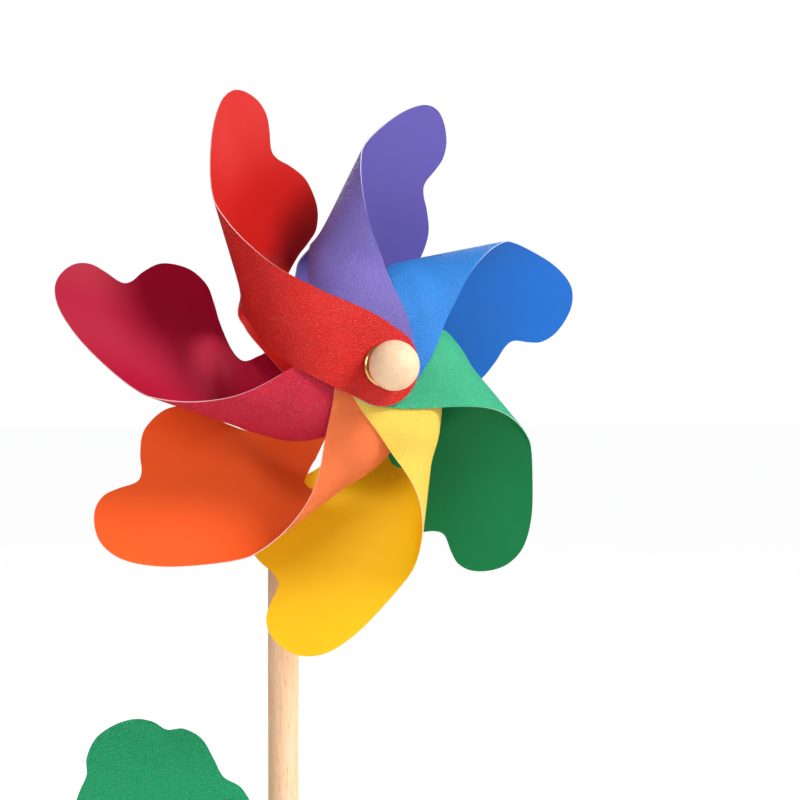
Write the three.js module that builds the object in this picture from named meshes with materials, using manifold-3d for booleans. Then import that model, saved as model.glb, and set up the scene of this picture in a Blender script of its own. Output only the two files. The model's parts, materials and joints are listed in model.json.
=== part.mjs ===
// Garden whirligig: a seven-petal pinwheel of thin plastic sheet that spins on a steel axle at
// the top of a round wooden stick, with one scalloped leaf pinned into the stick's side.
//
// Frame: millimetres, +Z up. The origin is the centre of the stick's flat lower end, the stick
// runs up +Z, the wheel faces -Y and its axle lies along Y.
//
// Inside the wheel everything is placed by its depth: millimetres behind the front face of the
// foremost petal tab, which is the direction +Y.

import * as THREE from 'three';
import Module from 'manifold-3d';
import { mergeVertices } from 'three/addons/utils/BufferGeometryUtils.js';

const wasm = await Module();
wasm.setup();

// ---------------------------------------------------------------- driving dimensions
// Clearances.
const seatGap = 0.3; // between faces that rest on each other, and round a pin in its hole

// Stick: a round dowel with a blunt tapered lower end.
const stickRadius = 6;
const stickAboveAxle = 16; // how far the dowel goes on above the axle
const stickTaper = 17; // length of the tapered lower end
const stickEndRadius = 3.4; // radius of the flat lower end
const stickTopChamfer = 1;
const axleHeight = 441; // axle above the stick's lower end

// Axle and the turned wooden pieces on it.
const axleRadius = 2;
const knobRadius = 9;
const knobSeatRadius = 4.5; // of the flat that rests on the front washer
const knobBoreDepth = 8;
const capRadius = 7;
const capSeatRadius = 4.8; // of the flat behind the stick
const capBoreDepth = 6.5;
const spacerRadius = 6.4;
const beadRadius = 8;
const beadEndRadius = 6;
const wheelStandOff = 86; // depth of the stick's front face

// Washers.
const frontWasherRadius = 7.8;
const frontWasherThickness = 1.6;
const frontWasherRoll = 0.9; // how far its rounded rim curves in
const washerRadius = 7.5;
const washerThickness = 1;

// Petals.
const sheetThickness = 0.4;
const tabRadius = 14.5;
const wheelDepth = 50; // from the foremost front tab to the foremost rear tab
const stripAngle = 43; // the strip leaves the front tab at this angle from the fold's normal
// Cross-section of the curl, as reach from the axle and depth.
const tabFlat = 13.5; // the front tab stays flat as far as this
const rearFlat = 22; // and the rear tab as far as this
const tabRunOut = 20; // the flat run of a tab past the axle
const foldReach = 34.2; // the fold's furthest reach
const foldDepth = 19;
const wingEndReach = -24;
const wingEndDepth = 63;
const leanShare = 0.95; // the strip leans back under its neighbour by this share of the tab stack
const leanStart = 20; // distances along the fold where the lean starts and is complete
const leanFull = 33;
const leanFadeLength = 40; // arc length behind the fold in which the lean fades out
// Between these distances along the fold the rear tab's section turns into the wing's.
const tabSectionEnds = 27;
const wingSectionStarts = 48;
// Round relief of the blank between the strip's corner and the rear tab's neck.
const relief = { across: 61, along: 18.5, radius: 16 };
// Each petal is laid on the axle by hand, so each is turned a few degrees from its even place.
const petals = [
  { name: 'petal_red', colour: 0xd92f22, turn: -3 },
  { name: 'petal_purple', colour: 0x6a55b4, turn: 2.7 },
  { name: 'petal_blue', colour: 0x2a70d2, turn: 3.2 },
  { name: 'petal_green', colour: 0x009a5a, turn: -3.5 },
  { name: 'petal_yellow', colour: 0xf8c410, turn: -2.5 },
  { name: 'petal_orange', colour: 0xf4622c, turn: 0.5 },
  { name: 'petal_magenta', colour: 0xb8264c, turn: 0 },
];
const firstPetalAngle = 111; // direction of the first petal's tip, from +X towards +Z

// Leaf.
const leafThickness = 0.8;
const leafBottom = 163; // lowest point of the leaf above the stick's lower end
const leafTurn = 15; // the leaf's outer edge is turned this far back
const leafEdgeHeight = 90; // height of its straight edge, which sits in the stick
const leafInnerEdge = 1.5; // the straight edge's distance from the stick's centre
const slotRunOut = 7; // the saw cut goes on this far above and below the leaf's straight edge
const pinRadius = 0.8;
const pinHeadRadius = 1.6;
const pinHeadThickness = 0.6;
const pinSetIn = 3.9; // the pins' distance from the stick's centre
const pinHeights = { leaf_pin_lower: 177, leaf_pin_upper: 238 };

// ---------------------------------------------------------------- what follows from them
const petalPitch = sheetThickness + seatGap;
const tabStack = petals.length * petalPitch - seatGap;
const leanBack = leanShare * (petals.length - 1) * petalPitch;
const boreRadius = axleRadius + seatGap;
const stickHeight = axleHeight + stickAboveAxle;
const planeOfDepthZero = -(wheelStandOff + stickRadius);

const depth = {};
depth.frontWasherBack = -seatGap;
depth.frontWasherFront = depth.frontWasherBack - frontWasherThickness;
depth.knobBack = depth.frontWasherFront - seatGap;
depth.frontInnerWasher = tabStack + seatGap;
depth.spacerFront = depth.frontInnerWasher + washerThickness + seatGap;
depth.rearInnerWasher = wheelDepth - seatGap - washerThickness;
depth.spacerBack = depth.rearInnerWasher - seatGap;
depth.rearOuterWasher = wheelDepth + tabStack + seatGap;
depth.beadFront = depth.rearOuterWasher + washerThickness + seatGap;
depth.stickWasher = wheelStandOff - seatGap - washerThickness;
depth.beadBack = depth.stickWasher - seatGap;
depth.capFront = wheelStandOff + 2 * stickRadius + seatGap;

const finish = {
  beech: { color: 0xe6c096, roughness: 0.55, metalness: 0 },
  brass: { color: 0xc9a24a, roughness: 0.25, metalness: 1 },
  steel: { color: 0xb9bcc0, roughness: 0.35, metalness: 1 },
  paleWasher: { color: 0xe9dfd0, roughness: 0.5, metalness: 0 },
  leaf: { color: 0x00a069, roughness: 0.5, metalness: 0 },
};

// ---------------------------------------------------------------- helpers
const v2 = (x, y) => new THREE.Vector2(x, y);
const radians = THREE.MathUtils.degToRad;
const degrees = THREE.MathUtils.radToDeg;

function toSolid(geometry) {
  const bare = geometry.clone();
  bare.deleteAttribute('normal');
  bare.deleteAttribute('uv');
  const merged = mergeVertices(bare, 1e-4);
  const mesh = new wasm.Mesh({
    numProp: 3,
    vertProperties: new Float32Array(merged.attributes.position.array),
    triVerts: new Uint32Array(merged.index.array),
  });
  mesh.merge();
  return new wasm.Manifold(mesh);
}

function toGeometry(solid) {
  const mesh = solid.getMesh();
  const geometry = new THREE.BufferGeometry();
  geometry.setAttribute('position', new THREE.BufferAttribute(mesh.vertProperties, 3));
  geometry.setIndex(new THREE.BufferAttribute(mesh.triVerts, 1));
  return geometry;
}

function namedMesh(name, geometry, look) {
  const mesh = new THREE.Mesh(geometry, new THREE.MeshStandardMaterial(look));
  mesh.name = name;
  return mesh;
}

// A ring or disc turned about the axle. Each profile point is [radius, depth]; the profile runs
// from front to back on the outside and closes on itself or on the axis.
function turnedOnAxle(profile, segments) {
  const points = profile.map(([radius, along]) => v2(radius, along));
  return new THREE.LatheGeometry(points, segments);
}

// Points of a profile arc: centre on the axis at `along`, swept from one angle to another.
function axisArc(radius, along, fromDegrees, toDegrees, steps) {
  const points = [];
  for (let i = 0; i <= steps; i += 1) {
    const angle = radians(THREE.MathUtils.lerp(fromDegrees, toDegrees, i / steps));
    points.push([radius * Math.sin(angle), along - radius * Math.cos(angle)]);
  }
  return points;
}

// ---------------------------------------------------------------- petals
// A table of arc length against position for a chain of curves.
function unroll(curves, startLength) {
  const table = [{ length: startLength, at: curves[0].getPoint(0) }];
  for (const curve of curves) {
    const steps = curve.type === 'LineCurve' ? 1 : 60;
    for (let i = 1; i <= steps; i += 1) {
      const last = table[table.length - 1];
      const at = curve.getPoint(i / steps);
      table.push({ length: last.length + at.distanceTo(last.at), at });
    }
  }
  return table;
}

// Position and backward normal at one arc length of an unrolled section.
function onSection(table, length) {
  let i = 1;
  while (i < table.length - 1 && table[i].length < length) {
    i += 1;
  }
  const before = table[i - 1];
  const after = table[i];
  const share = (length - before.length) / (after.length - before.length);
  const at = before.at.clone().lerp(after.at, share);
  const along = after.at.clone().sub(before.at).normalize();
  return { at, normal: v2(-along.y, along.x) };
}

// The curl has two sections that share the front tab and the fold: the wing's, which slants back
// past the axle, and the rear tab's, which comes in square to the axle.
const frontHalf = [
  new THREE.LineCurve(v2(-tabRunOut, 0), v2(tabFlat, 0)),
  new THREE.CubicBezierCurve(
    v2(tabFlat, 0),
    v2(tabFlat + 12, 0),
    v2(foldReach, foldDepth - 10),
    v2(foldReach, foldDepth),
  ),
];
const wingSection = unroll([
  ...frontHalf,
  new THREE.CubicBezierCurve(
    v2(foldReach, foldDepth),
    v2(foldReach, foldDepth + 8),
    v2(wingEndReach + 28, wingEndDepth - 9),
    v2(wingEndReach, wingEndDepth),
  ),
], -tabRunOut);
const rearTabSection = unroll([
  ...frontHalf,
  new THREE.CubicBezierCurve(
    v2(foldReach, foldDepth),
    v2(foldReach, wheelDepth - 12),
    v2(rearFlat + 10, wheelDepth),
    v2(rearFlat, wheelDepth),
  ),
  new THREE.LineCurve(v2(rearFlat, wheelDepth), v2(-tabRunOut, wheelDepth)),
], -tabRunOut);
// Arc lengths from the front tab's hole to the fold and to the rear tab's hole.
const foldLength = unroll(frontHalf, -tabRunOut).pop().length;
const rearHole = rearTabSection[rearTabSection.length - 1].length - tabRunOut;

// Where a point of the flat blank lies once the petal is curled: x is across the fold, z along
// it, y is depth. `lift` is the distance from the sheet's middle, towards its inner side.
function curl(across, along, lift) {
  const wing = onSection(wingSection, across);
  const tab = onSection(rearTabSection, across);
  const share = THREE.MathUtils.smoothstep(along, tabSectionEnds, wingSectionStarts);
  const at = tab.at.lerp(wing.at, share);
  const normal = tab.normal.lerp(wing.normal, share).normalize();
  at.addScaledVector(normal, lift);
  const inFront = 1 - THREE.MathUtils.smoothstep(across, foldLength, foldLength + leanFadeLength);
  const lean = leanBack * inFront * THREE.MathUtils.smoothstep(along, leanStart, leanFull);
  return [at.x, at.y + lean, along];
}

// Outline of the flat blank, anticlockwise, with the front tab's hole at (0, 0).
function blankOutline() {
  const outline = new THREE.Path();
  // Front tab, then straight to the relief.
  const tabStart = radians(90 + stripAngle);
  const tabEnd = radians(270 + stripAngle);
  outline.absarc(0, 0, tabRadius, tabStart, tabEnd, false);
  const { across, along, radius } = relief;
  outline.absarc(across, along, radius, radians(169), radians(10), true);
  // Rear tab and the neck's other side.
  outline.absarc(rearHole, 0, tabRadius, radians(190), radians(383), false);
  // Trailing edge: neck, inner notch, middle lobe, outer notch, tip; then the leading edge.
  outline.splineThru([
    v2(99, 26.5), v2(94.8, 31.5), v2(94.6, 37.5), v2(98.5, 42.6), v2(105, 46),
    v2(111.5, 50), v2(115.2, 58), v2(113.6, 68.5), v2(107.5, 75.3), v2(101.5, 79.5),
    v2(99.4, 83.5), v2(101.6, 90.5), v2(102.6, 96.5), v2(100, 102.5), v2(93.5, 107.2),
    v2(86, 108.6), v2(77, 105.8), v2(66, 97), v2(54, 83), v2(44, 70), v2(34.5, 56.5),
    v2(25.4, 44.6), v2(13.4, 32.9), v2(-2.6, 18.8),
    v2(tabRadius * Math.cos(tabStart), tabRadius * Math.sin(tabStart)),
  ]);
  return outline;
}

// Points along a path: round tabs and curves in steps of about `step`, straight lines whole.
// Their places across the fold are rounded to whole millimetres, which keeps the bands few.
function samplePath(path, step) {
  const points = [];
  for (const curve of path.curves) {
    const count = curve.type === 'LineCurve' ? 1 : Math.ceil(curve.getLength() / step);
    for (let i = 0; i < count; i += 1) {
      const point = curve.type === 'LineCurve' ? curve.getPoint(0) : curve.getPointAt(i / count);
      points.push(v2(Math.round(point.x), point.y));
    }
  }
  return points;
}

function hole(centre, radius, corners) {
  const points = [];
  for (let i = 0; i < corners; i += 1) {
    const angle = (-2 * Math.PI * (i + 0.5)) / corners;
    points.push(v2(centre + radius * Math.cos(angle), radius * Math.sin(angle)));
  }
  return points;
}

// A curled sheet from the closed loops of its flat blank. The blank is cut into narrow bands
// along the fold's direction, so that every band can lie on the curl as a flat strip.
function curledSheet(corners, thickness, widestBand) {
  const stations = [...new Set(corners.flat().map((point) => point.x))].sort((a, b) => a - b);
  for (let i = stations.length - 1; i > 0; i -= 1) {
    const width = stations[i] - stations[i - 1];
    const parts = Math.ceil(width / widestBand);
    for (let j = parts - 1; j > 0; j -= 1) {
      stations.splice(i, 0, stations[i - 1] + (width * j) / parts);
    }
  }

  const positions = [];
  const inner = (point) => curl(point.x, point.y, thickness / 2);
  const outer = (point) => curl(point.x, point.y, -thickness / 2);
  const face = (a, b, c) => positions.push(...a, ...b, ...c);
  const bothSides = (a, b, c) => {
    face(outer(a), outer(b), outer(c));
    face(inner(a), inner(c), inner(b));
  };

  // The section changes along the fold, so the bands are also cut across where it does.
  const middle = (low, high) => (low + high) / 2;
  const frontCuts = [leanStart, middle(leanStart, leanFull), leanFull];
  const rearCuts = [tabSectionEnds, middle(tabSectionEnds, wingSectionStarts), wingSectionStarts];
  const cutsAt = (station) => (station < foldLength ? frontCuts : rearCuts);
  const heights = new Map(stations.map((station) => [station, new Set(cutsAt(station))]));

  // Outline edges, cut at every station that they cross. Each becomes a piece of the edge wall.
  const bands = stations.slice(1).map(() => []);
  for (const loop of corners) {
    loop.forEach((from, index) => {
      const to = loop[(index + 1) % loop.length];
      const low = Math.min(from.x, to.x);
      const high = Math.max(from.x, to.x);
      const cuts = stations.filter((station) => station > low && station < high);
      if (to.x < from.x) {
        cuts.reverse();
      }
      const share = (station) => (station - from.x) / (to.x - from.x);
      const chain = [from, ...cuts.map((x) => v2(x, from.y + (to.y - from.y) * share(x))), to];
      for (let i = 1; i < chain.length; i += 1) {
        const [a, b] = [chain[i - 1], chain[i]];
        heights.get(a.x).add(a.y);
        face(outer(a), inner(a), inner(b));
        face(outer(a), inner(b), outer(b));
        if (a.x !== b.x) {
          const [start, end] = a.x < b.x ? [a, b] : [b, a];
          bands[stations.indexOf(start.x)].push({ start, end });
        }
      }
    });
  }
  // One side of a band: its two corners and every outline point that lies between them.
  const side = (low, high) => {
    const between = [...heights.get(low.x)].filter((y) => y > low.y && y < high.y);
    const points = [low.y, ...between.sort((a, b) => a - b)];
    return (high.y > low.y ? [...points, high.y] : points).map((y) => v2(low.x, y));
  };
  for (const band of bands) {
    band.sort((a, b) => a.start.y + a.end.y - b.start.y - b.end.y);
    for (let i = 0; i + 1 < band.length; i += 2) {
      const left = side(band[i].start, band[i + 1].start);
      const right = side(band[i].end, band[i + 1].end);
      while (left.length > 1 || right.length > 1) {
        if (right.length > 1 && (left.length === 1 || right[1].y < left[1].y)) {
          bothSides(left[0], right[0], right[1]);
          right.shift();
        } else {
          bothSides(left[0], right[0], left[1]);
          left.shift();
        }
      }
    }
  }
  const geometry = new THREE.BufferGeometry();
  geometry.setAttribute('position', new THREE.Float32BufferAttribute(positions, 3));
  return mergeVertices(geometry, 1e-4);
}

// All petals are one shape, each laid one sheet further back and turned on by one share.
function makePetals(wheel) {
  const loops = [
    samplePath(blankOutline(), 6),
    hole(0, boreRadius / Math.cos(Math.PI / 8), 8),
    hole(rearHole, boreRadius / Math.cos(Math.PI / 8), 8),
  ];
  const blank = curledSheet(loops, sheetThickness, 5);
  petals.forEach((petal, index) => {
    const look = { color: petal.colour, roughness: 0.45, metalness: 0 };
    const mesh = namedMesh(petal.name, blank.clone(), look);
    const tipAngle = firstPetalAngle + petal.turn - (360 * index) / petals.length;
    mesh.position.y = sheetThickness / 2 + index * petalPitch;
    // The blank's reach is +X and its tip +Z; the petal's tip points along tipAngle and its
    // fold lies anticlockwise of the tip as seen from the front.
    mesh.scale.x = -1;
    mesh.rotation.y = radians(90 - tipAngle);
    mesh.updateMatrix();
    mesh.geometry.applyMatrix4(mesh.matrix);
    flipFaces(mesh.geometry);
    mesh.scale.set(1, 1, 1);
    mesh.rotation.set(0, 0, 0);
    mesh.position.set(0, 0, 0);
    wheel.add(mesh);
  });
}

// A mirrored geometry has its faces inside out; this turns them back.
function flipFaces(geometry) {
  const index = geometry.index.array;
  for (let i = 0; i < index.length; i += 3) {
    [index[i], index[i + 1]] = [index[i + 1], index[i]];
  }
}

// ---------------------------------------------------------------- pieces on the axle
function ring(outerRadius, from, to, segments) {
  return turnedOnAxle([
    [boreRadius, from], [outerRadius, from], [outerRadius, to], [boreRadius, to],
    [boreRadius, from],
  ], segments);
}

function makeAxlePieces(wheel) {
  const knobCentre = depth.knobBack - Math.sqrt(knobRadius ** 2 - knobSeatRadius ** 2);
  const knobBackAngle = degrees(Math.acos((knobCentre - depth.knobBack) / knobRadius));
  const knob = turnedOnAxle([
    ...axisArc(knobRadius, knobCentre, 0, knobBackAngle, 10),
    [boreRadius, depth.knobBack],
    [boreRadius, depth.knobBack - knobBoreDepth],
    [0, depth.knobBack - knobBoreDepth],
  ], 24);
  wheel.add(namedMesh('front_knob', knob, finish.beech));

  const front = depth.frontWasherFront;
  const rim = frontWasherRadius;
  const frontWasher = turnedOnAxle([
    [boreRadius, front],
    [rim - frontWasherRoll, front],
    [rim - 0.3 * frontWasherRoll, front + 0.3 * frontWasherRoll],
    [rim, front + frontWasherRoll],
    [rim, depth.frontWasherBack],
    [boreRadius, depth.frontWasherBack],
    [boreRadius, front],
  ], 28);
  wheel.add(namedMesh('front_washer', frontWasher, finish.brass));

  const washers = {
    front_inner_washer: depth.frontInnerWasher,
    rear_inner_washer: depth.rearInnerWasher,
    rear_outer_washer: depth.rearOuterWasher,
    stick_washer: depth.stickWasher,
  };
  for (const [name, from] of Object.entries(washers)) {
    const washer = ring(washerRadius, from, from + washerThickness, 24);
    wheel.add(namedMesh(name, washer, finish.paleWasher));
  }

  const spacer = ring(spacerRadius, depth.spacerFront, depth.spacerBack, 24);
  wheel.add(namedMesh('hub_spacer', spacer, finish.beech));

  const beadMiddle = (depth.beadFront + depth.beadBack) / 2;
  const beadHalf = (depth.beadBack - depth.beadFront) / 2;
  const barrel = [];
  for (let i = 0; i <= 6; i += 1) {
    const share = i / 3 - 1;
    const bulge = (beadRadius - beadEndRadius) * (1 - share ** 2);
    barrel.push([beadEndRadius + bulge, beadMiddle + share * beadHalf]);
  }
  const bead = turnedOnAxle([
    [boreRadius, depth.beadFront], ...barrel, [boreRadius, depth.beadBack],
    [boreRadius, depth.beadFront],
  ], 24);
  wheel.add(namedMesh('stand_off_bead', bead, finish.beech));

  const axleFront = depth.knobBack - knobBoreDepth + seatGap;
  const axleBack = depth.capFront + capBoreDepth - seatGap;
  const axle = turnedOnAxle([
    [0, axleFront], [axleRadius, axleFront], [axleRadius, axleBack], [0, axleBack],
  ], 16);
  wheel.add(namedMesh('axle', axle, finish.steel));

  const capCentre = depth.capFront + Math.sqrt(capRadius ** 2 - capSeatRadius ** 2);
  const capAngle = degrees(Math.acos((capCentre - depth.capFront) / capRadius));
  const cap = turnedOnAxle([
    [0, depth.capFront + capBoreDepth],
    [boreRadius, depth.capFront + capBoreDepth],
    [boreRadius, depth.capFront],
    ...axisArc(capRadius, capCentre, capAngle, 180, 8),
  ], 20);
  wheel.add(namedMesh('axle_cap', cap, finish.beech));
}

// ---------------------------------------------------------------- stick, leaf and pins
// A cylinder along Y whose middle is at (x, y, z).
function crossBar(radius, length, x, y, z, segments) {
  const bar = new THREE.CylinderGeometry(radius, radius, length, segments);
  bar.translate(x, y, z);
  return bar;
}

function makeStick(whole) {
  const profile = [
    v2(0, 0), v2(stickEndRadius - 0.6, 0), v2(stickEndRadius, 0.6),
    v2(stickRadius - 0.7, stickTaper - 4), v2(stickRadius, stickTaper),
    v2(stickRadius, stickHeight - stickTopChamfer),
    v2(stickRadius - stickTopChamfer, stickHeight), v2(0, stickHeight),
  ];
  const dowel = new THREE.LatheGeometry(profile, 24);
  dowel.rotateX(Math.PI / 2);
  const across = 4 * stickRadius;
  let solid = toSolid(dowel).subtract(toSolid(crossBar(boreRadius, across, 0, 0, axleHeight, 16)));

  const slotFloor = leafInnerEdge - seatGap;
  const slot = new THREE.BoxGeometry(
    across,
    leafThickness + 2 * seatGap,
    leafEdgeHeight + 2 * slotRunOut,
  );
  slot.translate(-slotFloor - across / 2, 0, leafBottom + leafEdgeHeight / 2);
  slot.rotateZ(-radians(leafTurn));
  solid = solid.subtract(toSolid(slot));
  for (const height of Object.values(pinHeights)) {
    const bore = crossBar(pinRadius + seatGap, across, -pinSetIn, 0, height, 10);
    bore.rotateZ(-radians(leafTurn));
    solid = solid.subtract(toSolid(bore));
  }
  whole.add(namedMesh('stick', toGeometry(solid), finish.beech));
}

// The leaf lies in its own X-Z plane with its straight edge near the stick's centre.
function makeLeaf(leafGroup) {
  const outline = new THREE.Shape();
  const top = leafBottom + leafEdgeHeight;
  const at = (left, height) => v2(-left, leafBottom + height);
  outline.moveTo(-leafInnerEdge, leafBottom);
  outline.lineTo(-leafInnerEdge, top);
  outline.splineThru([
    at(4.5, 91.5), at(9.5, 99), at(11.5, 106), at(16.5, 114.5), at(23.5, 119), at(27.5, 126.5),
    at(32, 134), at(39, 138), at(45.5, 137.8), at(51, 141), at(58, 142.2), at(66, 140),
    at(73, 135), at(76.5, 127.5), at(76.5, 121), at(79.5, 114), at(81.5, 106),
    at(80.8, 96), at(77.5, 87.5), at(72, 80), at(72.3, 72.5), at(70, 62), at(66, 53),
    at(57, 43), at(45, 31), at(32, 18.5), at(19, 7), at(9.5, 1.2),
  ]);
  outline.lineTo(-leafInnerEdge, leafBottom);
  const sheet = new THREE.ExtrudeGeometry(outline, {
    depth: leafThickness,
    bevelEnabled: false,
    curveSegments: 2,
  });
  sheet.translate(0, 0, -leafThickness / 2);
  sheet.rotateX(Math.PI / 2);
  let solid = toSolid(sheet);
  for (const height of Object.values(pinHeights)) {
    const bore = crossBar(pinRadius + seatGap, 4 * leafThickness, -pinSetIn, 0, height, 10);
    solid = solid.subtract(toSolid(bore));
  }
  leafGroup.add(namedMesh('leaf', toGeometry(solid), finish.leaf));
}

// Each pin is driven in from behind; its head stands on the round of the stick.
function makePins(leafGroup) {
  const back = Math.sqrt(stickRadius ** 2 - (pinSetIn - pinHeadRadius) ** 2) + seatGap;
  const front = -Math.sqrt(stickRadius ** 2 - pinSetIn ** 2) + 0.5;
  for (const [name, height] of Object.entries(pinHeights)) {
    const pin = new THREE.LatheGeometry([
      v2(0, front), v2(pinRadius, front + pinRadius), v2(pinRadius, back),
      v2(pinHeadRadius, back), v2(pinHeadRadius * 0.8, back + pinHeadThickness),
      v2(0, back + pinHeadThickness),
    ], 10);
    pin.translate(-pinSetIn, 0, height);
    leafGroup.add(namedMesh(name, pin, finish.brass));
  }
}

// ---------------------------------------------------------------- assembly
const whirligig = new THREE.Group();
makeStick(whirligig);

const leafGroup = new THREE.Group();
leafGroup.rotation.z = -radians(leafTurn);
makeLeaf(leafGroup);
makePins(leafGroup);
whirligig.add(leafGroup);

const wheel = new THREE.Group();
wheel.position.set(0, planeOfDepthZero, axleHeight);
makePetals(wheel);
makeAxlePieces(wheel);
whirligig.add(wheel);

export default whirligig;
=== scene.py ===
"""The finished look of a garden whirligig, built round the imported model: petals of embossed
plastic sheet, turned beech fittings on a steel axle, a dowel stick and a pinned leaf.

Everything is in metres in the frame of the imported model: +Z up, the wheel faces -Y. The petals
and the leaf are drawn in millimetres as flat blanks and scaled by MM at the end. Inside the
wheel "depth" is the distance behind the front face of the foremost petal tab.
"""

import json
import math

import bmesh
import bpy
from mathutils import Matrix, Vector

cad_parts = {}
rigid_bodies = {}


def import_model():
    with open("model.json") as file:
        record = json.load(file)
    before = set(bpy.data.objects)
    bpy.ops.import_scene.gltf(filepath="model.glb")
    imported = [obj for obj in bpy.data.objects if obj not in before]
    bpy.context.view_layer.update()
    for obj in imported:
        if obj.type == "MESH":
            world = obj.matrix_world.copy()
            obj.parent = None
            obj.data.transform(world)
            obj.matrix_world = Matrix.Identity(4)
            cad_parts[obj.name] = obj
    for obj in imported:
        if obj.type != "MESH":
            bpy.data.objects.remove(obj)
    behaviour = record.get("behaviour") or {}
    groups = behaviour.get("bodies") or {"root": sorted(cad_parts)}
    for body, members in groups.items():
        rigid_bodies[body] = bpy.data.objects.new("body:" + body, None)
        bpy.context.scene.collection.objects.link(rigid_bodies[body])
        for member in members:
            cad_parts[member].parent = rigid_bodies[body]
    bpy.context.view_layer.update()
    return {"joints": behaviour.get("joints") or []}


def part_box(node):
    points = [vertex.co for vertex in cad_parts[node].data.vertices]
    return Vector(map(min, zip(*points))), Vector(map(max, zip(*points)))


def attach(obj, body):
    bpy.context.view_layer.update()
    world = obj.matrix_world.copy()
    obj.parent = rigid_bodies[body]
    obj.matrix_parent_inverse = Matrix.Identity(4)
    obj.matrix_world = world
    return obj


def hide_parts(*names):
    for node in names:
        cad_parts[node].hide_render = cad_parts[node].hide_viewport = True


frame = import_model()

MM = 0.001
HUB = Vector(frame["joints"][0]["pos_m"])  # where the axle meets the foremost petal tab
ON_AXLE = (0, 0, HUB.z)  # where the axle's line crosses the stick's middle
STICK, WHEEL = frame["joints"][0]["parent"], frame["joints"][0]["child"]

# ---------------------------------------------------------------- sizes, in millimetres
SHEET = 0.4  # thickness of the petals
LEAF_SHEET = 0.8
PETAL_GAP = 0.3  # between tabs that lie on each other
BORE = 2.3  # radius of every hole round the axle

# Turned pieces on the axle. A seat is the radius of the flat that a ball rests on.
KNOB_SEAT, KNOB_BORE_DEPTH = 4.5, 8
CAP_SEAT, CAP_BORE_DEPTH = 4.8, 6.5
BEAD_END = 6
WASHER_ROLL = 1.1  # radius of the brass washer's rounded rim

# Lower end of the stick, as radius and height.
STICK_END = [(0, 0), (3, 0), (3.4, 0.6), (4.5, 7), (5.3, 13), (5.88, 16), (6, 19)]
STICK_LENGTHS = 12  # how many lengths the straight part is divided into

# Flat blank of a petal: x is across the fold, y along it, the front tab's hole at (0, 0).
TAB_RADIUS = 14.5
STRIP_ANGLE = 43
RELIEF = {"across": 61, "along": 18.5, "radius": 16}
TRAILING_EDGE = [
    (99, 26.5), (94.8, 31.5), (94.6, 37.5), (98.5, 42.6), (105, 46), (111.5, 50), (115.2, 58),
    (113.6, 68.5), (107.5, 75.3), (101.5, 79.5), (99.4, 83.5), (101.6, 90.5), (102.6, 96.5),
    (100, 102.5), (93.5, 107.2), (86, 108.6), (77, 105.8), (66, 97), (54, 83), (44, 70),
    (34.5, 56.5), (25.4, 44.6), (13.4, 32.9), (-2.6, 18.8),
]

# Cross-section of the curl, as reach from the axle and depth.
TAB_RUN_OUT = 20
TAB_FLAT = 13.5
REAR_FLAT = 22
FOLD_REACH, FOLD_DEPTH = 34.2, 19
WHEEL_DEPTH = 50
WING_END_REACH, WING_END_DEPTH = -24, 63
TAB_SECTION_ENDS, WING_SECTION_STARTS = 27, 48
LEAN_SHARE = 0.95  # of the tab stack, by which the strip leans back under its neighbour
LEAN_START, LEAN_FULL, LEAN_FADE = 20, 33, 40

FIRST_PETAL_ANGLE = 111
PETALS = {  # name: outer colour, inner colour, turn from its even place in degrees. Both colours are one plastic: the outer is painted lighter with sheen, the inner painted darker with shade
    "red": ("#d50d00", "#bf0d00", -3),
    "purple": ("#7567ba", "#5a509f", 2.7),
    "blue": ("#2081d9", "#1069ca", 3.2),
    "green": ("#31b282", "#007840", -3.5),
    "yellow": ("#fcd350", "#ffc607", -2.5),
    "orange": ("#fc7839", "#fc5f22", 0.5),
    "magenta": ("#cd0a35", "#a6002d", 0),
}
LEAN_BACK = LEAN_SHARE * (len(PETALS) - 1) * (SHEET + PETAL_GAP)

# Leaf: x is the distance out from the stick's axis, y the height above the leaf's bottom.
LEAF_BOTTOM = 163
LEAF_TURN = 15
LEAF_INNER_EDGE = -1.5
LEAF_EDGE_HEIGHT = 90
SLOT_RUN_OUT, SLOT_GAP = 7, 0.3  # of the stick's saw cut, past the leaf's edge and beside it
LEAF_EDGE = [
    (4.5, 91.5), (9.5, 99), (11.5, 106), (16.5, 114.5), (23.5, 119), (27.5, 126.5), (32, 134),
    (39, 138), (45.5, 137.8), (51, 141), (58, 142.2), (66, 140), (73, 135), (76.5, 127.5),
    (76.5, 121), (79.5, 114), (81.5, 106), (80.8, 96), (77.5, 87.5), (72, 80), (72.3, 72.5),
    (70, 62), (66, 53), (57, 43), (45, 31), (32, 18.5), (19, 7), (9.5, 1.2),
]


# ---------------------------------------------------------------- colours and node helpers
def paint(code, lighten=0.0):
    """A linear RGBA colour from a hex code, mixed towards white by a share."""
    channels = []
    for start in (1, 3, 5):
        value = int(code[start:start + 2], 16) / 255
        value = value / 12.92 if value <= 0.04045 else ((value + 0.055) / 1.055) ** 2.4
        channels.append(value + (1 - value) * lighten)
    return (*channels, 1.0)


def node(tree, kind, inputs=None, **settings):
    """A new node. Each input is a socket to link from or a value to set."""
    made = tree.nodes.new(kind)
    for name, value in settings.items():
        setattr(made, name, value)
    for key, value in (inputs or {}).items():
        if isinstance(value, bpy.types.NodeSocket):
            tree.links.new(value, made.inputs[key])
        else:
            made.inputs[key].default_value = value
    return made


def math_node(tree, operation, first, second=0.0):
    return node(tree, "ShaderNodeMath", {0: first, 1: second}, operation=operation).outputs[0]


def between(tree, value, low, high, to_low=0.0, to_high=1.0):
    """Smoothly remaps low..high of a value to another range."""
    return node(
        tree,
        "ShaderNodeMapRange",
        {"Value": value, "From Min": low, "From Max": high, "To Min": to_low, "To Max": to_high},
        interpolation_type="SMOOTHSTEP",
    ).outputs["Result"]


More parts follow.
